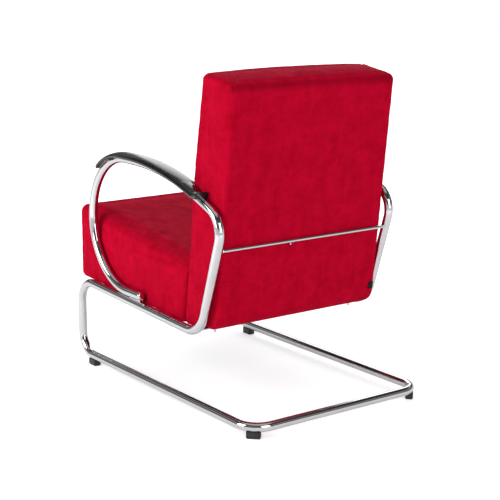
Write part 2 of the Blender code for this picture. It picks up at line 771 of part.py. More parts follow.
def make_back_cover():
    """Velvet cover over all faces of the back, open in the middle of its underside."""
    radii = (0.004, BACK_HEM_R, BACK_TOP_R, BACK_TOP_R)
    block = soft_block(lambda i: back_corners(i, BACK_BASE_Z + i), radii, HALF_W, BACK_SIDE_R)
    cover = put("back_cover", block, VELVET, 40)
    inner = [r - COVER_T for r in radii]
    hollow = soft_block(lambda i: back_corners(COVER_T + i, BACK_BASE_Z + COVER_T + i), inner,
                        HALF_W - COVER_T, BACK_SIDE_R - COVER_T)
    cut(cover, cutter("cut_back_cavity", hollow))
    cut(cover, cutter("cut_back_mouth", back_mouth(0.0, -0.01, 0.02)))


def back_mouth(inset, low, high):
    """The opening in the underside of the cover, or the cloth that closes it."""
    y0 = BACK_FRONT_FOOT_Y + COVER_TURN + inset
    y1 = BACK_REAR_FOOT_Y - BACK_HEM_R - 0.006 - inset
    x = HALF_W - COVER_TURN - inset
    z0, z1 = BACK_BASE_Z + low, BACK_BASE_Z + high
    return prism([(y0, z0), (y1, z0), (y1, z1), (y0, z1)], -x, x)


def make_back_inside():
    """Timber frame, rear board, straps and foam inside the cover, and the cloth below."""
    inset = COVER_T + GAP + BACK_SIDE_R / 2
    low = BACK_BASE_Z + COVER_T + 0.003
    top = BACK_TOP_Z - inset - BACK_TOP_R
    x_outer = HALF_W - inset
    front, rear = BACK_FOAM_T, BACK_BOARD_T + GAP
    outline = back_corners(inset, low, top, front, rear)
    outer = rounded_outline(list(zip(outline, (0.0, BACK_HEM_R - inset, 0.0, 0.0))))
    hole = back_corners(inset, low + BACK_TIMBER_H, top - BACK_TIMBER_H, front - 0.05, -0.05)
    frame = ring_prism(outer, hole, x_outer, x_outer - TIMBER_T, "back_timber_frame", TIMBER)
    board = slab(back_rear_y, low + BACK_HEM_R, top, -inset - BACK_BOARD_T, -inset)
    put("back_board", prism(board, -x_outer, x_outer), BOARD)
    strap_end = inset + front - GAP
    for n in range(STRAP_N):
        z = low + (top - low) * (n + 1) / (STRAP_N + 1)
        strap = slab(back_front_y, z - STRAP_W / 2, z + STRAP_W / 2, strap_end - STRAP_T,
                     strap_end)
        put(f"back_strap_{n + 1}", prism(strap, -x_outer, x_outer), BLACK_CLOTH)
    foam = slab(back_front_y, low, BACK_TOP_Z - inset, inset, strap_end - STRAP_T - GAP)
    put("back_foam", prism(foam, -x_outer, x_outer), FOAM)
    cloth = put("back_dust_cloth", back_mouth(GAP, 0.0, DUST_T), BLACK_CLOTH)
    return frame, cloth


def make_back_fixings(frame, cloth):
    """Zinc-plated bracket from each lower bend under the back, with its bolt."""
    top = BACK_BASE_Z - GAP
    up = Vector((0, 0, 1))
    for side, name in SIDES:
        outer = H - R / 2
        inner = outer - BRACKET_REACH
        x0, x1 = sorted((side * inner, side * outer))
        y0, y1 = BRACKET_Y - BRACKET_W / 2, BRACKET_Y + BRACKET_W / 2
        outline = [(y0, top - BRACKET_T), (y1, top - BRACKET_T), (y1, top), (y0, top)]
        bracket = put(f"back_bracket_{name}", prism(outline, x0, x1), ZINC)
        cut(bracket, TUBE_TOOLS[side])
        foot = Vector((side * (inner + BRACKET_W / 2), BRACKET_Y, top - BRACKET_T - GAP))
        shank, head = BACK_BOLT_D / 2, BACK_BOLT_HEAD_D / 2
        hole = [(GAP / 2, shank + GAP), (BACK_BOLT_L + GAP, shank + GAP)]
        tool = cutter(f"cut_back_bolt_{name}", turned(foot, up, hole, 10))
        for ob in (bracket, frame, cloth):
            cut(ob, tool)
        profile = [(-BACK_BOLT_DROP, head * 0.45), (-BACK_BOLT_DROP * 0.45, head * 0.55),
                   (-BACK_BOLT_DROP * 0.4, head), (0, head), (0, shank), (BACK_BOLT_L, shank)]
        put(f"back_bolt_{name}", turned(foot, up, profile, 10), ZINC, 40)


def make_label():
    """Plain woven tag, sewn to the lower right corner of the back's rear face."""
    z0 = BACK_BASE_Z + BACK_HEM_R
    lean = BACK_REAR_LEAN * LABEL_H
    y = back_rear_y(z0) + GAP + 0.0002
    outline = [(y, z0), (y + LABEL_T, z0), (y + LABEL_T + lean, z0 + LABEL_H),
               (y + lean, z0 + LABEL_H)]
    x = -HALF_W + BACK_SIDE_R
    put("back_label", prism(outline, x, x + LABEL_W), BLACK_CLOTH)


# ---- the whole chair ----------------------------------------------------------------------

BOLT_HOLE_R = SEAT_BOLT_D / 2 + GAP
SEAT_BOLT_X = HALF_W - COVER_TURN - SEAT_BOLT_INSET
SIDES = ((1, "left"), (-1, "right"))
LOOPS = {side: loop_path(side) for side, _ in SIDES}
ARM_LINE = LOOPS[1]

clear_scene()
CHROME = make_material("chrome", (0.90, 0.90, 0.91), 0.06, 1.0)
STEEL = make_material("steel", (0.60, 0.60, 0.61), 0.35, 1.0)
ZINC = make_material("zinc_plate", (0.72, 0.75, 0.78), 0.30, 1.0)
BLACK_LACQUER = make_material("black_lacquer", (0.010, 0.010, 0.011), 0.12, 0.0)
BLACK_PLASTIC = make_material("black_plastic", (0.020, 0.020, 0.020), 0.45, 0.0)
VELVET = make_material("red_velvet", (0.46, 0.004, 0.026), 0.85, 0.0)
TIMBER = make_material("beech", (0.55, 0.36, 0.20), 0.60, 0.0)
BOARD = make_material("hardboard", (0.30, 0.20, 0.12), 0.70, 0.0)
FOAM = make_material("foam", (0.85, 0.80, 0.62), 0.90, 0.0)
BLACK_CLOTH = make_material("black_cloth", (0.015, 0.015, 0.015), 0.90, 0.0)

CHAIR = bpy.data.objects.new("chair", None)
bpy.context.collection.objects.link(CHAIR)
CHAIR.location = (0.0, SHIFT_Y, 0.0)
TUBE_TOOLS = {side: cutter(f"cut_tube_{name}", sweep(LOOPS[side], R + GAP, TUBE_SIDES))
              for side, name in SIDES}
make_frame_tubes()
make_joint_sleeve()
make_arm_end_caps()
make_arm_wedges()
make_cross_bars()
make_back_rod()
make_glides()
make_pads()
make_seat_cover()
make_seat_inside()
make_back_cover()
BACK_FRAME, BACK_CLOTH = make_back_inside()
make_back_fixings(BACK_FRAME, BACK_CLOTH)
make_label()
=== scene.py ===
import math

import bmesh
import bpy
import numpy as np
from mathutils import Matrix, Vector, noise


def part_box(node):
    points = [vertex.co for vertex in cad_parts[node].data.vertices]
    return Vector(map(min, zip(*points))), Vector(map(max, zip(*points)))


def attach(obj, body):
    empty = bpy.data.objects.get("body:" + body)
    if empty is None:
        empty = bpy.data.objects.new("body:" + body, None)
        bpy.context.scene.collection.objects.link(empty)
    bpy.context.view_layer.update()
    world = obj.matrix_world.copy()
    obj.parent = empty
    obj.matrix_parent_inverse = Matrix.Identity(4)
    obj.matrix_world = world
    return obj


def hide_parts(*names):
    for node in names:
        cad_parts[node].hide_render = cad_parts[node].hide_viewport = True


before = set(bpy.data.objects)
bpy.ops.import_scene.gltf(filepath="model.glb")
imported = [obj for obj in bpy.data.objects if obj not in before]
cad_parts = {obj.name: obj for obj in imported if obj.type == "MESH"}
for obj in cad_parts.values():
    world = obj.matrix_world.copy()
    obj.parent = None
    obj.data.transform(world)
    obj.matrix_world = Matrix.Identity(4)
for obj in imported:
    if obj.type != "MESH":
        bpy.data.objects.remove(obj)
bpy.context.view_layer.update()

# ---- Bent tube frame ------------------------------------------------------------------------
# Two mirrored lengths of 25 mm steel tube, 2 mm wall, cold bent over formers, polished and
# chrome plated. Each runs from its free end on the seat rail, round the arm, down the rear post,
# along the rail, down the front leg and back along the floor, to a spigot in the rear floor bar.

HANDS = ((1, "left"), (-1, "right"))
CHAIR_SHIFT = 0.012           # the frame's own middle to the middle of the whole chair, along Y
TUBE_R, TUBE_WALL = 0.0125, 0.002
LOOP_X = 0.285
LEG_Y, BAR_Y = -0.4315, 0.4315
FLOOR_TUBE_Z = 0.029
ARM_TOP_Z, ARM_FRONT_Y = 0.6467, -0.350
ARM_CROWN_R, ARM_LEVEL, ARM_FALL = 0.88, 0.044, 0.40
POST_FOOT_Y, POST_LEAN = 0.2032, 0.3285
RAIL_Z, RAIL_FALL = 0.2342, 0.045
RAIL_LEN = math.hypot(1, RAIL_FALL)
TAIL_RUN, TAIL_OVER_RAIL = 0.066, 0.0253            # the arm's straight free end
SHOULDER_R, REAR_BEND_R, KNEE_R, FLOOR_BEND_R = 0.065, 0.080, 0.068, 0.060
BAR_GAP = 0.0001              # from the middle to each tube's end in the rear floor bar
BEND_STEP, STRAIGHT_STEP = 0.005, 0.03


def rail_z(y):
    """Height of the seat rail's centre line."""
    return RAIL_Z - RAIL_FALL * y


ARM_R = (ARM_TOP_Z - rail_z(ARM_FRONT_Y) - RAIL_LEN * TAIL_OVER_RAIL) / (RAIL_LEN + 1 - RAIL_FALL)
ARM_HUB = (ARM_FRONT_Y + ARM_R, ARM_TOP_Z - ARM_R)


def post_y(z):
    """How far back the rear post's centre line is at a height."""
    return POST_FOOT_Y + POST_LEAN * (z - rail_z(POST_FOOT_Y))


def bend(before, corner, after, radius, step):
    """Points round one bend, from tangent point to tangent point."""
    a, b = (before - corner).normalized(), (after - corner).normalized()
    angle = a.angle(b)
    reach = radius / math.tan(angle / 2)
    centre = corner + (a + b).normalized() * (radius / math.sin(angle / 2))
    start = (corner + a * reach - centre) / radius
    side = (corner + b * reach - centre) / radius
    side = (side - start * side.dot(start)).normalized()
    turn = math.pi - angle
    count = max(4, math.ceil(turn * radius / step))
    return [centre + (start * math.cos(turn * i / count) + side * math.sin(turn * i / count))
            * radius for i in range(count + 1)]


def bent_line(corners):
    """A line through (corner, radius) pairs, with evenly spaced points."""
    line = [corners[0][0]]
    for before, (corner, radius), after in zip(corners, corners[1:], corners[2:]):
        line += bend(before[0], corner, after[0], radius, BEND_STEP)
    line.append(corners[-1][0])
    out = [line[0]]
    for p in line[1:]:
        gap = (p - out[-1]).length
        if gap < 1e-5:
            continue
        parts = max(1, round(gap / STRAIGHT_STEP))
        out += [out[-1].lerp(p, (k + 1) / parts) for k in range(parts)]
    return out


def loop_line(side):
    """Centre line of one bent tube; side is 1 for the sitter's left and -1 for the right."""
    tail_z = ARM_HUB[1] - ARM_R
    brow = ARM_HUB[0] + ARM_LEVEL + ARM_CROWN_R * math.tan(math.atan(ARM_FALL) / 2)
    shoulder = post_y(ARM_TOP_Z + ARM_FALL * brow) / (1 + POST_LEAN * ARM_FALL)
    places = [((ARM_HUB[0] + TAIL_RUN, tail_z), 0), ((ARM_FRONT_Y, tail_z), ARM_R),
              ((ARM_FRONT_Y, ARM_TOP_Z), ARM_R), ((brow, ARM_TOP_Z), ARM_CROWN_R),
              ((shoulder, ARM_TOP_Z - ARM_FALL * (shoulder - brow)), SHOULDER_R),
              ((POST_FOOT_Y, rail_z(POST_FOOT_Y)), REAR_BEND_R), ((LEG_Y, rail_z(LEG_Y)), KNEE_R),
              ((LEG_Y, FLOOR_TUBE_Z), FLOOR_BEND_R), ((BAR_Y, FLOOR_TUBE_Z), FLOOR_BEND_R)]
    corners = [(Vector((side * LOOP_X, y + CHAIR_SHIFT, z)), r) for (y, z), r in places]
    corners.append((Vector((side * BAR_GAP, BAR_Y + CHAIR_SHIFT, FLOOR_TUBE_Z)), 0))
    return bent_line(corners)


def round_rings(bm, line, radii, sides):
    """Rings of vertices square to a line, carried along it without twist."""
    ahead = [(q - p).normalized() for p, q in zip(line, line[1:])]
    ahead = [ahead[0]] + [(a + b).normalized() for a, b in zip(ahead, ahead[1:])] + [ahead[-1]]
    across = Vector((1, 0, 0)) if abs(ahead[0].x) < 0.9 else Vector((0, 0, 1))
    rings = []
    for i, (point, along) in enumerate(zip(line, ahead)):
        if i:
            across = ahead[i - 1].rotation_difference(along) @ across
        across = (across - along * across.dot(along)).normalized()
        up = along.cross(across)
        turns = [2 * math.pi * k / sides for k in range(sides)]
        rings.append([bm.verts.new(point + (across * math.cos(t) + up * math.sin(t)) * radii[i])
                      for t in turns])
    return rings


def skin(bm, rings, close_ends=True):
    """Faces between rings, and over the first and last one."""
    for first, second in zip(rings, rings[1:]):
        n = len(first)
        for k in range(n):
            bm.faces.new((first[k], first[(k + 1) % n], second[(k + 1) % n], second[k]))
    if close_ends:
        bm.faces.new(rings[0])
        bm.faces.new(rings[-1])


def piece(name, bm, finish, slot_name, *stands_for, sharp=40):
    """Make the mesh an object of the chair, in its finish, in place of its CAD nodes."""
    bmesh.ops.recalc_face_normals(bm, faces=bm.faces)
    mesh = bpy.data.meshes.new(name)
    bm.to_mesh(mesh)
    bm.free()
    mesh.materials.append(finish)
    mesh.shade_smooth()
    mesh.set_sharp_from_angle(angle=math.radians(sharp))
    ob = bpy.data.objects.new(name, mesh)
    bpy.context.collection.objects.link(ob)
    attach(ob, "root")
    if stands_for:
        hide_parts(*stands_for)
    return ob


def group(name, inputs, outputs):
    """A shader node group with named sockets: (tree, its input node, its output node)."""
    tree = bpy.data.node_groups.new(name, 'ShaderNodeTree')
    for label, kind, value in inputs:
        socket = tree.interface.new_socket(label, in_out='INPUT', socket_type=kind)
        socket.default_value = value
    for label, kind in outputs:
        tree.interface.new_socket(label, in_out='OUTPUT', socket_type=kind)
    return tree, tree.nodes.new('NodeGroupInput'), tree.nodes.new('NodeGroupOutput')


def speckle(tree, stretch, scale, detail, rough=0.6):
    """Noise over the chair's own coordinates, stretched along some axes."""
    place = tree.nodes.new('ShaderNodeTexCoord')
    mapping = tree.nodes.new('ShaderNodeMapping')
    mapping.inputs['Scale'].default_value = stretch
    tree.links.new(place.outputs['Object'], mapping.inputs['Vector'])
    tex = tree.nodes.new('ShaderNodeTexNoise')
    tex.inputs['Scale'].default_value = scale
    tex.inputs['Detail'].default_value = detail
    tex.inputs['Roughness'].default_value = rough
    tree.links.new(mapping.outputs['Vector'], tex.inputs['Vector'])
    return tex


def feed(tree, socket, value):
    """Link a socket to another node's output, or set it to a plain value."""
    if hasattr(value, 'node'):
        tree.links.new(value, socket)
    else:
        socket.default_value = value


def mapped(tree, value, low, high, to_low, to_high):
    """value moved from one range to another, and kept within it."""
    node = tree.nodes.new('ShaderNodeMapRange')
    for label, v in (('Value', value), ('From Min', low), ('From Max', high),
                     ('To Min', to_low), ('To Max', to_high)):
        feed(tree, node.inputs[label], v)
    return node.outputs['Result']


def sums(tree, operation, a, b):
    """One step of arithmetic on two values."""
    node = tree.nodes.new('ShaderNodeMath')
    node.operation = operation
    feed(tree, node.inputs[0], a)
    feed(tree, node.inputs[1], b)
    return node.outputs['Value']


def blend_colour(tree, amount, a, b):
    """Colour a where amount is 0, and b where it is 1."""
    node = tree.nodes.new('ShaderNodeMix')
    node.data_type = 'RGBA'
    feed(tree, node.inputs[0], amount)
    feed(tree, node.inputs[6], a)
    feed(tree, node.inputs[7], b)
    return node.outputs[2]


# Handling marks and dust that lie on any hard, shiny surface.
handling, h_in, h_out = group(
    "handling_marks",
    [("Clean Roughness", 'NodeSocketFloat', 0.05), ("Marked Roughness", 'NodeSocketFloat', 0.15),
     ("Clean Colour", 'NodeSocketColor', (0.9, 0.9, 0.9, 1)),
     ("Marked Colour", 'NodeSocketColor', (0.8, 0.8, 0.8, 1))],
    [("Roughness", 'NodeSocketFloat'), ("Colour", 'NodeSocketColor'),
     ("Height", 'NodeSocketFloat')])
smears = speckle(handling, (1, 1, 1), 14, 5)
grit = speckle(handling, (1, 1, 1), 420, 3)
smear_mask = mapped(handling, smears.outputs['Fac'], 0.48, 0.72, 0, 1)
grit_mask = mapped(handling, grit.outputs['Fac'], 0.60, 0.75, 0, 0.5)
marks = sums(handling, 'MAXIMUM', smear_mask, grit_mask)
handling.links.new(mapped(handling, marks, 0, 1, h_in.outputs['Clean Roughness'],
                          h_in.outputs['Marked Roughness']), h_out.inputs['Roughness'])
handling.links.new(blend_colour(handling, marks, h_in.outputs['Clean Colour'],
                                h_in.outputs['Marked Colour']), h_out.inputs['Colour'])
handling.links.new(smears.outputs['Fac'], h_out.inputs['Height'])


def new_finish(name, values):
    """A material with its tree and shader, and plain values on the shader's own sockets."""
    finish = bpy.data.materials.new(name)
    finish.use_nodes = True
    shader = finish.node_tree.nodes['Principled BSDF']
    for label, value in values.items():
        shader.inputs[label].default_value = value
    return finish, finish.node_tree, shader


def placed(tree, effect, values):
    """A node group in a material, with this material's own values."""
    node = tree.nodes.new('ShaderNodeGroup')
    node.node_tree = effect
    for label, value in values.items():
        node.inputs[label].default_value = value
    return node


def relief(tree, shader, height, strength, distance=0.001):
    """Shallow relief on a surface, from a height that changes over it."""
    bump = tree.nodes.new('ShaderNodeBump')
    bump.inputs['Strength'].default_value = strength
    bump.inputs['Distance'].default_value = distance
    tree.links.new(height, bump.inputs['Height'])
    tree.links.new(bump.outputs['Normal'], shader.inputs['Normal'])


def hard_finish(name, clean, marked, roughness, marked_roughness, metallic, strength=0.02):
    """A hard surface with handling marks; clean and marked are its colours."""
    finish, tree, shader = new_finish(name, {'Metallic': metallic})
    handled = placed(tree, handling, {
        'Clean Roughness': roughness, 'Marked Roughness': marked_roughness,
        'Clean Colour': (*clean, 1), 'Marked Colour': (*marked, 1)})
    tree.links.new(handled.outputs['Colour'], shader.inputs['Base Color'])
    tree.links.new(handled.outputs['Roughness'], shader.inputs['Roughness'])
    relief(tree, shader, handled.outputs['Height'], strength)
    return finish


bright_chrome = hard_finish("bright_chrome", (0.66, 0.66, 0.67), (0.61, 0.61, 0.62), 0.03, 0.045,
                            1.0, 0.01)

LOOP_LINES = {}
for side, hand in HANDS:
    line = LOOP_LINES[side] = loop_line(side)
    bm = bmesh.new()
    outer = round_rings(bm, line, [TUBE_R] * len(line), 32)
    bore = round_rings(bm, line, [TUBE_R - TUBE_WALL] * len(line), 20)
    skin(bm, outer, close_ends=False)
    skin(bm, bore, close_ends=False)
    for k in (0, -1):
        edges = [bm.edges.get((ring[i - 1], ring[i])) for ring in (outer[k], bore[k])
                 for i in range(len(ring))]
        bmesh.ops.bridge_loops(bm, edges=edges)
    piece(f"tube_loop_{hand}", bm, bright_chrome, "chrome", f"frame_tube_{hand}")

# ---- Arm ends ---------------------------------------------------------------------------------
# A turned steel plug with a low dome closes the free end of each arm tube, and is plated with it.
# A thin steel wedge welded under the end carries it on the seat rail.


def carry_over(finish, *names):
    """CAD nodes whose shape is right keep it, and get their finish."""
    for name in names:
        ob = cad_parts[name]
        ob.data.materials.clear()
        ob.data.materials.append(finish)


plain_steel = hard_finish("plain_steel", (0.46, 0.46, 0.47), (0.36, 0.35, 0.34), 0.28, 0.45, 1.0)

PLUG_R, PLUG_RIM, PLUG_DOME = 0.0124, 0.0008, 0.0052
plug = [(-0.013, 0.0085), (-0.0135, 0.0090), (0.0003, 0.0095), (0.0003, 0.0119),
        (PLUG_RIM, PLUG_R)]   # out from the tube's end, and radius
plug += [(PLUG_RIM + PLUG_DOME * math.sin(t), PLUG_R * math.cos(t) ** 0.6)
         for t in np.linspace(0.08, 1.5, 12)]
plug.append((0.00601, 0.0008))
for side, hand in HANDS:
    end, inward = LOOP_LINES[side][:2]
    out = (end - inward).normalized()
    bm = bmesh.new()
    skin(bm, round_rings(bm, [end + out * a for a, r in plug], [r for a, r in plug], 32))
    piece(f"arm_plug_{hand}", bm, bright_chrome, "chrome", f"arm_end_cap_{hand}", sharp=50)
    carry_over(bright_chrome, f"arm_wedge_{hand}")
carry_over(plain_steel, "frame_joint_sleeve")

# ---- Cross bars, rod and stop -----------------------------------------------------------------
# Two flat steel bars welded between the seat rails carry the seat. A 9.5 mm chromed rod between
# the rear posts stays the back; a small turned stop is pressed into its underside.

grey_steel = hard_finish("grey_lacquered_steel", (0.030, 0.030, 0.032), (0.05, 0.05, 0.05), 0.35,
                         0.55, 0.0)
carry_over(grey_steel, "seat_cross_bar_front", "seat_cross_bar_rear")

low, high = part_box("back_rod")
rod_r = (high[2] - low[2]) / 2
rod_y, rod_z = (low[1] + high[1]) / 2, (low[2] + high[2]) / 2
places = [(low[0], 0.94), (low[0] + 0.0004, 1.0), (low[0] + 0.004, 1.0), (0, 1.0),
          (high[0] - 0.004, 1.0), (high[0] - 0.0004, 1.0), (high[0], 0.94)]
bm = bmesh.new()
skin(bm, round_rings(bm, [Vector((x, rod_y, rod_z)) for x, s in places],
                     [rod_r * s for x, s in places], 28))
piece("back_stay_rod", bm, bright_chrome, "chrome", "back_rod")

low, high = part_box("rod_stop")
stop_x, stop_h = (low[0] + high[0]) / 2, high[2] - low[2]
stop = [(0, 0.80), (0.10, 0.80), (0.13, 0.55), (0.30, 0.52), (0.34, 0.95), (0.42, 1.0),
        (0.80, 1.0), (0.92, 0.86), (1.0, 0.5)]      # down from the rod, and radius, as shares
bm = bmesh.new()
skin(bm, round_rings(bm, [Vector((stop_x, rod_y, high[2] - t * stop_h)) for t, r in stop],
                     [r * (high[0] - low[0]) / 2 for t, r in stop], 20))
piece("rod_stop_turned", bm, bright_chrome, "chrome", "rod_stop")

# ---- Glides -----------------------------------------------------------------------------------
# Four moulded black blocks clip up round the floor tube, two near the front legs and two on the
# rear corner bends. They are dull nylon, scuffed pale where they meet the floor.

nylon = hard_finish("black_nylon", (0.012, 0.012, 0.012), (0.035, 0.034, 0.033), 0.38, 0.6, 0.0,
                    0.15)
carry_over(nylon, *[f"glide_{end}_{hand}" for end in ("front", "rear") for side, hand in HANDS])

# ---- Arm pads ---------------------------------------------------------------------------------
# Steam-bent hardwood strips, domed on top and grooved underneath to sit on the tube, sprayed with
# black gloss lacquer. The rear end is turned up in a lip. Screws through small tabs hold each one.

PAD_HALF, PAD_HALF_BY_BACK = 0.0285, 0.0155         # half widths: full, and beside the back
PAD_REAR_Y = 0.217            # before the shift to the chair's middle
PAD_FRONT_TURN = math.radians(131)
PAD_UNDER, PAD_EDGE = 0.0036, 0.0118                # up from the tube's centre line
PAD_CROWN = 0.0064            # how far the dome stands above the edges
PAD_STEP = 0.004              # between one section and the next
TIP_ROUND, TAIL_ROUND = 0.016, 0.006                # lengths over which the ends round off
LIP_H, LIP_RUN = 0.0150, 0.024
GROOVE_R = 0.01282
LOWER_EDGE_R, CORNER_CUT = 0.0024, 0.0007
UPPER_EDGE_RUN, UPPER_EDGE_DROP = 0.0045, 0.0026
ARM_REACH_Y = 0.27            # only the arm ahead of this carries a pad
BACK_BASE_Z, BACK_FRONT_Y, BACK_LEAN = 0.2385, 0.0965, 0.139

black_gloss = hard_finish("black_gloss_lacquer", (0.006, 0.006, 0.007), (0.012, 0.012, 0.013),
                          0.24, 0.30, 0.0, 0.05)
gloss = black_gloss.node_tree.nodes['Principled BSDF']
gloss.inputs['Coat Weight'].default_value = 0.35
gloss.inputs['Coat Roughness'].default_value = 0.20


def back_face(z):
    """The plane of the back's front, which the pads pass and the seat butts against."""
    return BACK_FRONT_Y + BACK_LEAN * (z - BACK_BASE_Z)


def arm_run(side, first_y, last_y):
    """Evenly spaced (centre, upward normal, distance) along the top of the arm."""
    line = [p for p in LOOP_LINES[side] if p.z > ARM_HUB[1] and p.y < ARM_REACH_Y]
    line = line[:max(range(len(line)), key=lambda i: line[i].y) + 1]
    ys = [p.y for p in line]
    zs = [p.z for p in line]
    lengths = np.concatenate([[0], np.cumsum([(q - p).length for p, q in zip(line, line[1:])])])
    start, end = np.interp([first_y, last_y], ys, lengths)
    out = []
    for s in np.linspace(start, end, round((end - start) / PAD_STEP) + 1):
        y, y2 = np.interp([s, s + PAD_STEP], lengths, ys)
        z, z2 = np.interp([s, s + PAD_STEP], lengths, zs)
        along = Vector((0, y2 - y, z2 - z)).normalized()
        out.append((Vector((side * LOOP_X, y, z)), Vector((0, -along.z, along.y)), s - start))
    return out


def pad_profile(from_tip, from_end, side, beside_back):
    """Across and up of the pad's section: rounded edges, a domed top, a groove for the tube."""
    tip = math.sqrt(max(1 - (1 - min(from_tip / TIP_ROUND, 1)) ** 2, 0))
    tail = math.sqrt(max(1 - (1 - min(from_end / TAIL_ROUND, 1)) ** 2, 0))
    lip = LIP_H * max(1 - from_end / LIP_RUN, 0) ** 1.5
    half = PAD_HALF * (0.62 + 0.38 * tip)
    under = PAD_UNDER + 0.0030 * (1 - tip) + 0.45 * lip
    edge = PAD_EDGE - 0.0025 * (1 - tip) + lip - 0.004 * (1 - tail)
    crown = edge + PAD_CROWN * tip
    inner = half - (PAD_HALF - PAD_HALF_BY_BACK) * beside_back
    open_to = math.acos(min(under / GROOVE_R, 0.98))
    groove = [(GROOVE_R * math.sin(t), GROOVE_R * math.cos(t))
              for t in np.linspace(-open_to, open_to, 13)]
    left, right = (inner, half) if side > 0 else (half, inner)
    r, cut = LOWER_EDGE_R, CORNER_CUT
    left_edge = [(-left + r, under), (-left + cut, under + cut), (-left, under + r)]
    right_edge = [(right, under + r), (right - cut, under + cut), (right - r, under)]
    top = []
    for t in np.linspace(0, 1, 17):
        x = -left + (left + right) * t
        drop = max(0, 1 - min(t, 1 - t) * (left + right) / UPPER_EDGE_RUN)
        dome = 1 - abs(2 * t - 1) ** 2.2
        top.append((x, edge - UPPER_EDGE_DROP * drop ** 2 + (crown - edge) * dome))
    return left_edge + top + right_edge + groove[::-1]


for side, hand in HANDS:
    tip_y = ARM_HUB[0] + ARM_R * math.cos(PAD_FRONT_TURN) + CHAIR_SHIFT
    run = arm_run(side, tip_y, PAD_REAR_Y + CHAIR_SHIFT)
    bm = bmesh.new()
    rings = []
    for centre, up, s in run:
        face_y = back_face(centre.z) + CHAIR_SHIFT
        beside = min(max((centre.y - face_y + 0.012) / 0.010, 0), 1)
        beside = beside * beside * (3 - 2 * beside)
        section = pad_profile(s + 0.0004, run[-1][2] - s + 0.0004, side, beside)
        rings.append([bm.verts.new(centre + Vector((x, 0, 0)) + up * z) for x, z in section])
    skin(bm, rings)
    piece(f"arm_rest_{hand}", bm, black_gloss, "black_lacquer", f"arm_pad_{hand}", sharp=32)
    carry_over(grey_steel, f"pad_tab_{hand}_front", f"pad_tab_{hand}_rear")
    carry_over(plain_steel, f"pad_screw_{hand}_front", f"pad_screw_{hand}_rear")

# ---- Velvet -----------------------------------------------------------------------------------
# The seat and back are covered in a crimson cotton velvet. Its short pile leans, so that it is
# paler where it is brushed one way and darker where it is brushed the other, and soft at edges.

pile, p_in, p_out = group(
    "velvet_pile",
    [("Deep", 'NodeSocketColor', (0.3, 0, 0, 1)), ("Brushed", 'NodeSocketColor', (0.6, 0, 0, 1)),
     ("Contrast", 'NodeSocketFloat', 0.5)],
    [("Colour", 'NodeSocketColor'), ("Height", 'NodeSocketFloat'),
     ("Roughness", 'NodeSocketFloat')])
strokes = speckle(pile, (1.0, 0.9, 0.7), 24, 7, 0.66)
bands = speckle(pile, (1.0, 1.0, 0.20), 60, 3, 0.5)
cross = speckle(pile, (0.45, 0.45, 1.0), 70, 2, 0.5)
fibre = speckle(pile, (1, 1, 1), 900, 2, 0.7)
brush = sums(pile, 'ADD', mapped(pile, strokes.outputs['Fac'], 0.34, 0.66, -0.5, 0.5),
             mapped(pile, bands.outputs['Fac'], 0.35, 0.65, -0.16, 0.16))
brush = sums(pile, 'ADD', brush, mapped(pile, cross.outputs['Fac'], 0.35, 0.65, -0.20, 0.20))
grain = sums(pile, 'ADD', brush, mapped(pile, fibre.outputs['Fac'], 0.3, 0.7, -0.25, 0.25))
lean = sums(pile, 'ADD', sums(pile, 'MULTIPLY', grain, p_in.outputs['Contrast']), 0.5)
pile.links.new(blend_colour(pile, lean, p_in.outputs['Deep'], p_in.outputs['Brushed']),
               p_out.inputs['Colour'])
pile.links.new(sums(pile, 'ADD', sums(pile, 'MULTIPLY', fibre.outputs['Fac'], 0.5), brush),
               p_out.inputs['Height'])
pile.links.new(mapped(pile, lean, 0, 1, 0.92, 0.72), p_out.inputs['Roughness'])

PAINTED_SHADE_RED = (0.19, 0.0006, 0.008, 1)                # painted shade: a deeper red for up-facing faces and the line under the rear top edge
velvet, tree, cloth = new_finish("crimson_velvet", {
    'Specular IOR Level': 0.02, 'Sheen Weight': 0.12, 'Sheen Roughness': 0.38,
    'Sheen Tint': (1.0, 0.06, 0.20, 1)})
nap = placed(tree, pile, {'Deep': (0.340, 0.0004, 0.0110, 1),
                          'Brushed': (0.520, 0.0016, 0.0250, 1), 'Contrast': 0.55})
# Painted shade in the colour: up-facing faces, and a line under the rear top edge, are blended
# towards a deeper red.
facing = tree.nodes.new('ShaderNodeNewGeometry')
upward = tree.nodes.new('ShaderNodeSeparateXYZ')
tree.links.new(facing.outputs['Normal'], upward.inputs['Vector'])
painted_top_shade = mapped(tree, upward.outputs['Z'], 0.35, 0.95, 0, 0.25)      # painted shade: up-facing faces darker
place = tree.nodes.new('ShaderNodeTexCoord')
where = tree.nodes.new('ShaderNodeSeparateXYZ')
tree.links.new(place.outputs['Object'], where.inputs['Vector'])
below_edge = mapped(tree, where.outputs['Z'], 0.858, 0.879, 0, 0.60)  # painted shade: the line under the rear top edge
above_edge = mapped(tree, where.outputs['Z'], 0.882, 0.889, 1, 0)
at_rear = mapped(tree, where.outputs['Y'], 0.318, 0.332, 0, 1)
painted_edge_shade = sums(tree, 'MULTIPLY', sums(tree, 'MULTIPLY', below_edge, above_edge), at_rear)
shaded = sums(tree, 'MAXIMUM', painted_top_shade, painted_edge_shade)
tree.links.new(blend_colour(tree, shaded, nap.outputs['Colour'], PAINTED_SHADE_RED),
               cloth.inputs['Base Color'])
tree.links.new(nap.outputs['Roughness'], cloth.inputs['Roughness'])
relief(tree, cloth, nap.outputs['Height'], 0.22, 0.0012)

VOXEL = 0.0065                # fineness of the covers' meshes while they swell
SWELL_CAP = 0.0045            # the furthest that a point of a cover may move
SWELL_STEPS = 15
SHRINK_ALLOWED = 0.0002       # a point moves inward by no more than this


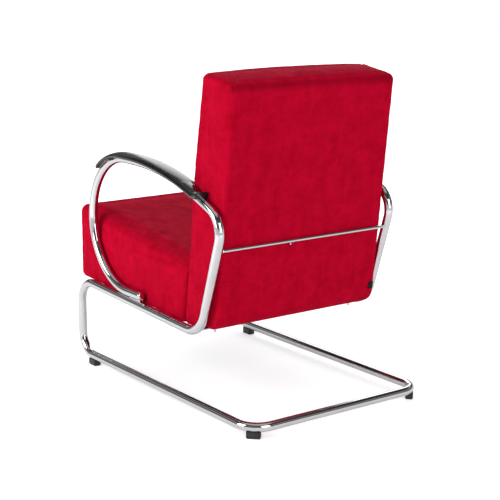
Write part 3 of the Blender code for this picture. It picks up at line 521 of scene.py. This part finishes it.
def rounded(corners, steps=5):
    """A (y, z) outline with each (corner, radius) rounded."""
    out = []
    for i, (corner, radius) in enumerate(corners):
        a, p = Vector((0, *corners[i - 1][0])), Vector((0, *corner))
        b = Vector((0, *corners[(i + 1) % len(corners)][0]))
        turn = math.pi - (a - p).angle(b - p)
        points = bend(a, p, b, radius, radius * turn / steps * 1.001)
        out += [(q.y, q.z) for q in points]
    return out


def stuffed_block(outline, radii, half, edge):
    """A block with every edge rounded; outline(inset) gives its corners, moved in by inset."""
    bm = bmesh.new()
    turns = [math.pi / 8 * k for k in range(5)]
    ends = [(half - edge * (1 - math.cos(t)), edge * (1 - math.sin(t))) for t in turns]
    rings = []
    for x, inset in [(-x, i) for x, i in ends] + ends[::-1]:
        section = rounded([(c, max(r - inset, 0.0008)) for c, r in zip(outline(inset), radii)])
        rings.append([bm.verts.new((x, y, z)) for y, z in section])
    skin(bm, rings)
    return bm


def swollen(name, bm, held):
    """Fill a cover: remesh it, let pressure swell it as cloth, outward and within a cap.

    held(co) is from 0, free, to 1, fixed to the frame inside."""
    bmesh.ops.recalc_face_normals(bm, faces=bm.faces)
    mesh = bpy.data.meshes.new(name)
    bm.to_mesh(mesh)
    bm.free()
    ob = bpy.data.objects.new(name, mesh)
    bpy.context.collection.objects.link(ob)
    bpy.context.view_layer.objects.active = ob
    ob.select_set(True)
    remesh = ob.modifiers.new("remesh", 'REMESH')
    remesh.mode = 'VOXEL'
    remesh.voxel_size = VOXEL
    bpy.ops.object.modifier_apply(modifier=remesh.name)
    mesh = ob.data
    count = len(mesh.vertices)
    rest = np.empty(count * 3)
    mesh.vertices.foreach_get('co', rest)
    rest = rest.reshape(-1, 3)
    outward = np.empty(count * 3)
    mesh.vertex_normals.foreach_get('vector', outward)
    outward = outward.reshape(-1, 3)
    weights = np.array([held(Vector(co)) for co in rest])
    pins = ob.vertex_groups.new(name="held")
    for i in np.nonzero(weights > 0)[0]:
        pins.add([int(i)], float(weights[i]), 'REPLACE')
    filling = ob.modifiers.new("filling", 'CLOTH')
    filling.settings.use_pressure = True
    filling.settings.uniform_pressure_force = 4.0
    filling.settings.tension_stiffness = 25
    filling.settings.compression_stiffness = 25
    filling.settings.bending_stiffness = 1.5
    filling.settings.vertex_group_mass = pins.name
    filling.settings.effector_weights.gravity = 0
    filling.collision_settings.use_self_collision = False
    scene = bpy.context.scene
    for n in range(1, SWELL_STEPS + 1):
        scene.frame_set(n)
    bpy.ops.object.modifier_apply(modifier=filling.name)
    ob.vertex_groups.clear()
    scene.frame_set(1)
    moved = np.empty(count * 3)
    ob.data.vertices.foreach_get('co', moved)
    moved = moved.reshape(-1, 3) - rest
    inward = np.minimum((moved * outward).sum(axis=1, keepdims=True) + SHRINK_ALLOWED, 0)
    moved -= outward * inward
    far = np.linalg.norm(moved, axis=1, keepdims=True)
    moved *= SWELL_CAP * np.tanh(far / SWELL_CAP) / np.maximum(far, 1e-9)
    return ob, rest + moved


def finish_cushion(ob, co, shape):
    """Subdivide once, let shape(co, normals) add seams and folds, and dress it in velvet."""
    ob.data.vertices.foreach_set('co', co.ravel())
    ob.data.update()
    sub = ob.modifiers.new("fine", 'SUBSURF')
    sub.levels = sub.render_levels = 1
    bpy.ops.object.modifier_apply(modifier=sub.name)
    mesh = ob.data
    n = len(mesh.vertices)
    co, normals = np.empty(n * 3), np.empty(n * 3)
    mesh.vertices.foreach_get('co', co)
    mesh.vertex_normals.foreach_get('vector', normals)
    co = shape(co.reshape(-1, 3), normals.reshape(-1, 3))
    mesh.vertices.foreach_set('co', co.ravel())
    mesh.update()
    mesh.materials.clear()
    mesh.materials.append(velvet)
    mesh.shade_smooth()
    ob.select_set(False)
    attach(ob, "root")


def ripples(co, seed, scale):
    """Smooth noise from -1 to 1 at each point."""
    shift = Vector((seed * 7.3, seed * 3.1, seed * 5.7))
    return np.array([noise.noise(Vector(p) * scale + shift) for p in co])


def seam(distance, width, depth):
    """Depth of a sewn seam's groove at a distance from the stitching."""
    return -depth * np.exp(-(distance / width) ** 2)


def edge_seams(faces, near, depth):
    """Seams along edges; faces pairs each point's distances from the two that meet there."""
    return sum(np.where((a < near) & (b < near), seam(np.abs(a - b) / 1.414, 0.0030, depth), 0)
               for a, b in faces)


def under_recess(*from_edges):
    """How far the underside rises inside the strip of cover that is turned under it."""
    room = np.minimum.reduce(from_edges) - 0.026
    return 0.0022 * np.clip(room / 0.006, 0, 1)

# ---- Seat -------------------------------------------------------------------------------------
# A deep block of foam on sinuous springs and a beech frame, in one sewn velvet cover. The top and
# side panels meet in seams along the edges, and the cover is stapled under the frame.

SOFT_HALF = 0.2685            # half width of the room for the seat and back between the tubes
SLACK = 0.001                 # the covers start this much smaller, and swell to size
SEAT_FRONT_Y = -0.468
SEAT_TOP_Z, SEAT_FALL = 0.4775, 0.130
SEAT_BASE = -0.0028           # underside over the rail's centre line
SEAT_TO_BACK = 0.002
SEAT_REAR_Y, SEAT_REAR_FOOT_Z = 0.11, 0.227         # roughly the rear face's top and its foot
ROLL_W = 0.060                # how far the rolled side edges reach over the top and sides
ROLL_DROP = 0.40              # how far they fall, as a share of that


def seat_top(y, inset=0.0):
    """Height of the seat's sloping top."""
    return SEAT_TOP_Z - inset - SEAT_FALL * (y - SEAT_FRONT_Y)


def over_rail(y, over):
    """A height above the seat rail's centre line."""
    return rail_z(y) + over


def seat_outline(inset):
    """Corners of the seat's section, moved in by inset."""
    i = inset + SLACK
    front, rear_top = SEAT_FRONT_Y + i, BACK_FRONT_Y
    for _ in range(20):
        rear_top = back_face(seat_top(rear_top, i)) - SEAT_TO_BACK - i
    rear_low = back_face(SEAT_REAR_FOOT_Z) - SEAT_TO_BACK - i
    places = [(front, over_rail(front, SEAT_BASE + inset)),
              (rear_low, over_rail(rear_low, SEAT_BASE + inset)),
              (rear_top, seat_top(rear_top, i)), (front, seat_top(front, i))]
    return [(y + CHAIR_SHIFT, z) for y, z in places]


def seat_held(co):
    """The base is stapled to the frame, and the rear face rests against the back."""
    y = co.y - CHAIR_SHIFT
    up = co.z - over_rail(y, SEAT_BASE)
    behind = back_face(co.z) - SEAT_TO_BACK - SLACK - y
    if behind < 0.006 or up < 0.004:
        return 1.0
    return max(0.0, 0.9 * (1 - up / 0.05), 0.9 * (1 - behind / 0.03))


def seat_shape(co, normals):
    """Rolled side edges, sewn front edges, soft unevenness, and the under-cloth's recess."""
    x, y, z = co[:, 0], co[:, 1] - CHAIR_SHIFT, co[:, 2]
    side, drop, front = SOFT_HALF - np.abs(x), seat_top(y) - z, y - SEAT_FRONT_Y
    roll = np.clip(front / 0.16, 0, 1) ** 0.6
    fall = 0.5 * np.clip(1 - side / ROLL_W, 0, 1) ** 2 * np.clip(1 - drop / ROLL_W, 0, 1)
    tuck = 0.5 * np.clip(1 - drop / ROLL_W, 0, 1) ** 2 * np.clip(1 - side / ROLL_W, 0, 1)
    co[:, 2] -= ROLL_W * ROLL_DROP * roll * fall
    co[:, 0] -= np.sign(x) * ROLL_W * ROLL_DROP * roll * tuck
    out = edge_seams(((front, drop), (side, front)), 0.024, 0.0011)
    edge = np.minimum(np.minimum(side, drop), front)
    pucker = np.exp(-np.clip(edge, 0, 1) / 0.030)
    out += 0.0007 * ripples(co, 1, 9) + 0.0006 * pucker * ripples(co, 2, 34)
    behind = back_face(z) - SEAT_TO_BACK - y
    base = z - over_rail(y, SEAT_BASE)
    out *= np.clip((behind - 0.008) / 0.01, 0, 1) * np.clip((base - 0.004) / 0.01, 0, 1)
    co = co + normals * out[:, None]
    co[:, 2] += under_recess(side, front, behind) * (base < 0.006)
    return co


bm = stuffed_block(seat_outline, (0.013, 0.004, 0.015, 0.017), SOFT_HALF - SLACK, 0.014)
seat, seat_co = swollen("seat_cushion", bm, seat_held)
finish_cushion(seat, seat_co, seat_shape)
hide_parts("seat_cover", "seat_foam")

# ---- Back -------------------------------------------------------------------------------------
# The same velvet over foam at the front and a thin board at the rear of a beech frame. The top
# corners are folded like a parcel, and the lower rear edge is rolled under the frame.

BACK_TOP_Z, BACK_TOP_FALL = 0.8870, 0.170
BACK_REAR_Y, BACK_REAR_LEAN = 0.2552, 0.113
ROD_BAND = 0.02               # how far above and below the rod the cover lies flat to the board
FRONT_CROWN, TOP_CROWN = 0.0075, 0.0055
CROWN_FOOT_Z = 0.45           # the front is flat below this, beside the seat
SAG, SAG_FRONT_Y = 0.0105, 0.172                    # the cover's droop at the foot of its sides
HEM_UP, HEM_TOP_Z = 0.046, 0.32                     # the rear hem over the base, and its limit
PULL_DOWN, PULL_W, PULL_DEPTH = 0.010, 0.0050, 0.0040     # the pull line under the rear top edge
FOLD_REACH = 0.055            # how far the top corners' folds run in from the edges


def back_rear(z):
    """The plane of the back's rear."""
    return BACK_REAR_Y + BACK_REAR_LEAN * (z - BACK_BASE_Z)


def back_top(y):
    """Height of the back's top, which falls towards the rear."""
    return BACK_TOP_Z + BACK_TOP_FALL * (back_rear(BACK_TOP_Z) - y)


def back_outline(inset):
    """Corners of the back's section, moved in by inset."""
    i = inset + SLACK
    rear_top = BACK_TOP_Z - i
    z = rear_top
    for _ in range(20):
        z = rear_top + BACK_TOP_FALL * (back_rear(rear_top) - i - back_face(z) - i)
    low = BACK_BASE_Z + inset + 0.0003
    places = [(back_face(low) + i, low), (back_rear(low) - i, low),
              (back_rear(rear_top) - i, rear_top), (back_face(z) + i, z)]
    return [(y + CHAIR_SHIFT, z) for y, z in places]


def back_held(co):
    """The base and the board at the rear hold the cover; the front is held where the seat is."""
    y = co.y - CHAIR_SHIFT
    up = co.z - BACK_BASE_Z
    if up < 0.005:
        return 1.0
    ahead = y - back_face(co.z) - SLACK
    beside_seat = min(max((seat_top(SEAT_REAR_Y) - co.z + 0.03) / 0.03, 0), 1)
    if ahead < 0.006 and beside_seat > 0:
        return beside_seat
    rear = 0.55 if back_rear(co.z) - SLACK - y < 0.004 else 0.0
    rod = 0.95 if rear and abs(co.z - rod_z) < ROD_BAND else rear
    return max(0.0, 0.9 * (1 - up / 0.03), rod)


def back_shape(co, normals):
    """A crowned front and top, a cover that hangs a little at the lower sides, sewn edges,
    folded top corners, a hem, and soft unevenness."""
    x, y, z = co[:, 0], co[:, 1] - CHAIR_SHIFT, co[:, 2]
    side, ahead = SOFT_HALF - np.abs(x), y - back_face(z)
    behind, drop = back_rear(z) - y, back_top(y) - z
    level = np.clip((z - CROWN_FOOT_Z) / (BACK_TOP_Z - CROWN_FOOT_Z), 0, 1)
    co[:, 1] -= FRONT_CROWN * np.sin(np.pi * level ** 0.8) * np.clip(1 - ahead / 0.14, 0, 1)
    crown = TOP_CROWN * (1 - (x / SOFT_HALF) ** 2)
    co[:, 2] += crown * np.clip(1 - drop / 0.05, 0, 1) * np.clip(behind / 0.05, 0.25, 1)
    low = np.clip(1 - (z - BACK_BASE_Z) / 0.03, 0, 1) * np.clip((SAG_FRONT_Y - y) / 0.012, 0, 1)
    co[:, 2] -= SAG * low * np.clip(1.5 - side / 0.02, 0, 1)
    out = edge_seams(((side, ahead), (side, behind), (ahead, drop), (behind, drop),
                      (side, drop)), 0.022, 0.0008)
    at_rear = behind < 0.012
    pull = seam(drop - PULL_DOWN, PULL_W, PULL_DEPTH) * np.clip(side / 0.02, 0, 1)
    out += np.where(at_rear & (drop < 0.05), pull, 0)
    on_top = drop < 0.010
    for depth in (ahead, behind):
        fold = seam(np.abs(side - depth) / 1.414, 0.0028, 0.0016)
        out += np.where(on_top & (side < FOLD_REACH) & (depth < FOLD_REACH), fold, 0)
    hem = z - BACK_BASE_Z - HEM_UP - 0.0015 * np.sin(x * 23)
    on_rear = at_rear & (z < HEM_TOP_Z)
    out += np.where(on_rear, seam(hem, 0.0035, 0.0010), 0)
    edge = np.minimum(np.minimum(side, drop), np.minimum(ahead, behind))
    pucker = np.exp(-np.clip(edge, 0, 1) / 0.028)
    out += 0.0009 * ripples(co, 3, 7) + 0.0007 * pucker * ripples(co, 4, 32)
    out += 0.0008 * np.where(z < 0.36, ripples(co * np.array([1, 1, 0.35]), 5, 26), 0)
    touching = (ahead < 0.02) & (z < seat_top(SEAT_REAR_Y) + 0.01)
    out *= np.where(touching, 0, 1) * np.clip((z - BACK_BASE_Z - 0.003) / 0.01, 0, 1)
    by_rod = (np.abs(z - rod_z) < ROD_BAND) & (behind < 0.02)
    out = np.where(by_rod, np.minimum(out, 0), out)
    co = co + normals * out[:, None]
    co[:, 2] += (under_recess(side, ahead, BACK_REAR_Y - 0.021 - y)
                 * (z - BACK_BASE_Z < 0.004))
    return co


bm = stuffed_block(back_outline, (0.005, 0.043, 0.013, 0.013), SOFT_HALF - SLACK, 0.009)
back, back_co = swollen("back_cushion", bm, back_held)
finish_cushion(back, back_co, back_shape)
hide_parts("back_cover", "back_foam")

# ---- Inside the upholstery --------------------------------------------------------------------
# Beech timbers, a pressed board, elastic straps and sinuous springs, which the covers hide. The
# beech is planed and unfinished, with its grain along the timbers.

grain, g_in, g_out = group(
    "timber_grain",
    [("Early", 'NodeSocketColor', (0.6, 0.4, 0.2, 1)),
     ("Late", 'NodeSocketColor', (0.4, 0.2, 0.1, 1)), ("Fineness", 'NodeSocketFloat', 60.0)],
    [("Colour", 'NodeSocketColor'), ("Height", 'NodeSocketFloat')])
rings_tex = speckle(grain, (0.06, 1, 1), 60, 4)
grain.links.new(g_in.outputs['Fineness'], rings_tex.inputs['Scale'])
grain.links.new(blend_colour(grain, mapped(grain, rings_tex.outputs['Fac'], 0.4, 0.6, 0, 1),
                             g_in.outputs['Early'], g_in.outputs['Late']),
                g_out.inputs['Colour'])
grain.links.new(rings_tex.outputs['Fac'], g_out.inputs['Height'])


def timber_finish(name, early, late, fineness):
    """Bare timber or board; early and late are the colours of its growth rings."""
    finish, tree, shader = new_finish(name, {'Roughness': 0.6})
    figure = placed(tree, grain, {'Early': (*early, 1), 'Late': (*late, 1), 'Fineness': fineness})
    tree.links.new(figure.outputs['Colour'], shader.inputs['Base Color'])
    relief(tree, shader, figure.outputs['Height'], 0.2)
    return finish


carry_over(timber_finish("planed_beech", (0.62, 0.42, 0.25), (0.45, 0.27, 0.14), 90),
           "seat_timber_frame", "back_timber_frame")
carry_over(timber_finish("pressed_board", (0.30, 0.19, 0.11), (0.20, 0.12, 0.07), 400),
           "back_board")
carry_over(plain_steel, *[f"seat_spring_{n}" for n in range(1, 5)])

# ---- Cloth underneath, straps and tag ---------------------------------------------------------
# Thin black woven cloth closes the underside of the seat and back, stapled along its edges. The
# straps and the small plain tag sewn to the back are black webbing of the same weave.

weave, w_in, w_out = group(
    "plain_weave",
    [("Thread", 'NodeSocketColor', (0.02, 0.02, 0.02, 1)),
     ("Gap", 'NodeSocketColor', (0.0, 0.0, 0.0, 1)), ("Threads", 'NodeSocketFloat', 900.0)],
    [("Colour", 'NodeSocketColor'), ("Height", 'NodeSocketFloat')])
heights = []
for direction in ('X', 'Y'):
    place = weave.nodes.new('ShaderNodeTexCoord')
    wave = weave.nodes.new('ShaderNodeTexWave')
    wave.bands_direction = direction
    wave.inputs['Distortion'].default_value = 0.6
    weave.links.new(place.outputs['Object'], wave.inputs['Vector'])
    weave.links.new(w_in.outputs['Threads'], wave.inputs['Scale'])
    heights.append(wave.outputs['Fac'])
threads = sums(weave, 'MULTIPLY', *heights)
weave.links.new(blend_colour(weave, threads, w_in.outputs['Gap'], w_in.outputs['Thread']),
                w_out.inputs['Colour'])
weave.links.new(threads, w_out.inputs['Height'])

black_cloth, tree, shader = new_finish("black_woven_cloth", {
    'Roughness': 0.85, 'Specular IOR Level': 0.2})
woven = placed(tree, weave, {'Thread': (0.022, 0.022, 0.023, 1),
                             'Gap': (0.006, 0.006, 0.006, 1), 'Threads': 260})
tree.links.new(woven.outputs['Colour'], shader.inputs['Base Color'])
relief(tree, shader, woven.outputs['Height'], 0.4, 0.0005)

CLOTH_DIP, CLOTH_MARGIN = 0.0007, 0.0006


def under_cloth(name, node, height):
    """A cloth stapled to the timbers, in a CAD node's place; height(y) is its level."""
    low, high = (Vector(corner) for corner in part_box(node))
    across, along = 60, max(12, round(60 * (high.y - low.y) / (high.x - low.x)))
    bm = bmesh.new()
    rows = []
    for j in range(along + 1):
        y = low.y + CLOTH_MARGIN + (high.y - low.y - 2 * CLOTH_MARGIN) * j / along
        row = []
        for i in range(across + 1):
            x = low.x + CLOTH_MARGIN + (high.x - low.x - 2 * CLOTH_MARGIN) * i / across
            u, v = abs(2 * i / across - 1), abs(2 * j / along - 1)
            uneven = 0.6 + 0.4 * noise.noise(Vector((x * 9, y * 9, 0)))
            dip = CLOTH_DIP * (1 - u ** 6) * (1 - v ** 6) * uneven
            row.append(bm.verts.new((x, y, height(y) - dip)))
        rows.append(row)
    for first, second in zip(rows, rows[1:]):
        for k in range(across):
            bm.faces.new((first[k], first[k + 1], second[k + 1], second[k]))
    ob = piece(name, bm, black_cloth, "black_cloth", node, sharp=60)
    flat = (high.x - low.x, math.hypot(high.y - low.y, height(high.y) - height(low.y)))


under_cloth("seat_under_cloth", "seat_dust_cloth",
            lambda y: over_rail(y - CHAIR_SHIFT, SEAT_BASE + 0.0011))
under_cloth("back_under_cloth", "back_dust_cloth",
            lambda y: BACK_BASE_Z + 0.0012)
carry_over(black_cloth, "back_strap_1", "back_strap_2", "back_strap_3", "back_label")

# ---- Bolts and brackets -----------------------------------------------------------------------
# Zinc-plated steel: bolts up through the cross bars into the seat frame, and a flat bracket from
# each rear bend under the back, with a bolt whose long head hangs below it.

zinc = hard_finish("bright_zinc", (0.62, 0.65, 0.68), (0.50, 0.51, 0.50), 0.22, 0.40, 1.0, 0.06)
carry_over(zinc, *[f"seat_bolt_{end}_{hand}" for end in ("front", "rear") for side, hand in HANDS])
carry_over(zinc, "back_bracket_left", "back_bracket_right", "back_bolt_left", "back_bolt_right")

# ---- Studio -----------------------------------------------------------------------------------
# A pale floor, soft lights and a white surround. Shiny metal sees the surround too, with the dark
# ceiling over the lights.

bm = bmesh.new()
bmesh.ops.create_grid(bm, x_segments=4, y_segments=4, size=14)
mesh = bpy.data.meshes.new("floor")
bm.to_mesh(mesh)
bm.free()
floor = bpy.data.objects.new("floor", mesh)
bpy.context.collection.objects.link(floor)
paper, tree, shader = new_finish("pale_floor", {
    'Roughness': 0.9, 'Specular IOR Level': 0.1, 'Emission Color': (1, 1, 1, 1)})
fleck = speckle(tree, (1, 1, 1), 60, 3)
tree.links.new(blend_colour(tree, fleck.outputs['Fac'], (0.84, 0.84, 0.84, 1),
                            (0.88, 0.88, 0.88, 1)), shader.inputs['Base Color'])
place = tree.nodes.new('ShaderNodeTexCoord')
away = tree.nodes.new('ShaderNodeVectorMath')
away.operation = 'LENGTH'
tree.links.new(place.outputs['Object'], away.inputs[0])
white_out = mapped(tree, away.outputs['Value'], 0.5, 2.2, 0.48, 1.0)
seen = tree.nodes.new('ShaderNodeLightPath')
direct = sums(tree, 'MAXIMUM', seen.outputs['Is Camera Ray'],
              sums(tree, 'MULTIPLY', seen.outputs['Is Glossy Ray'], 0.3))
tree.links.new(sums(tree, 'MULTIPLY', direct, white_out), shader.inputs['Emission Strength'])
mesh.materials.append(paper)

world = bpy.data.worlds.new("studio")
bpy.context.scene.world = world
world.use_nodes = True
tree = world.node_tree
surround = tree.nodes['Background']
seen = tree.nodes.new('ShaderNodeLightPath')
direction = tree.nodes.new('ShaderNodeTexCoord')
split = tree.nodes.new('ShaderNodeSeparateXYZ')
tree.links.new(direction.outputs['Generated'], split.inputs['Vector'])
ceiling = tree.nodes.new('ShaderNodeValToRGB')
ceiling.color_ramp.interpolation = 'EASE'
stops = ceiling.color_ramp.elements
stops[0].position, stops[0].color = 0.0, (0.75, 0.75, 0.75, 1)
stops[1].position, stops[1].color = 1.0, (0.55, 0.55, 0.55, 1)
for position, level in ((0.10, 0.42), (0.22, 0.10), (0.38, 0.10), (0.46, 0.50),
                        (0.54, 0.08), (0.78, 0.04), (0.90, 0.5)):
    stop = stops.new(position)
    stop.color = (level, level, level, 1)
tree.links.new(split.outputs['Z'], ceiling.inputs['Fac'])
metal_sees = blend_colour(tree, seen.outputs['Is Glossy Ray'], (0.50, 0.50, 0.51, 1),
                          ceiling.outputs['Color'])
tree.links.new(blend_colour(tree, seen.outputs['Is Camera Ray'], metal_sees, (1, 1, 1, 1)),
               surround.inputs['Color'])

AIM = Vector((0.0, 0.0, 0.42))
for name, place, size, power in (("key", (2.6, -0.5, 1.35), 1.6, 53),
                                 ("fill", (0.2, 3.4, 1.5), 2.0, 46),
                                 ("front", (-2.0, -1.9, 2.1), 2.4, 34)):
    lamp = bpy.data.lights.new(name, 'AREA')
    lamp.shape = 'SQUARE'
    lamp.size = size
    lamp.energy = power
    ob = bpy.data.objects.new(name, lamp)
    bpy.context.collection.objects.link(ob)
    ob.location = place
    ob.rotation_euler = (AIM - Vector(place)).to_track_quat('-Z', 'Y').to_euler()

CAMERA_AT = Vector((2.1285, 2.9440 + CHAIR_SHIFT, 1.1850))
LOOKS_ALONG = Vector((-0.5762, -0.7882, -0.2165))
FOCAL, FRAME_SIZE = 1310.13, 500                    # focal length and frame width, in one unit
lens = bpy.data.cameras.new("camera")
lens.sensor_width = 36
lens.lens = FOCAL * lens.sensor_width / FRAME_SIZE
camera = bpy.data.objects.new("camera", lens)
bpy.context.collection.objects.link(camera)
camera.location = CAMERA_AT
camera.rotation_euler = LOOKS_ALONG.to_track_quat('-Z', 'Y').to_euler()
bpy.context.scene.camera = camera
bpy.context.scene.view_settings.view_transform = 'Standard'
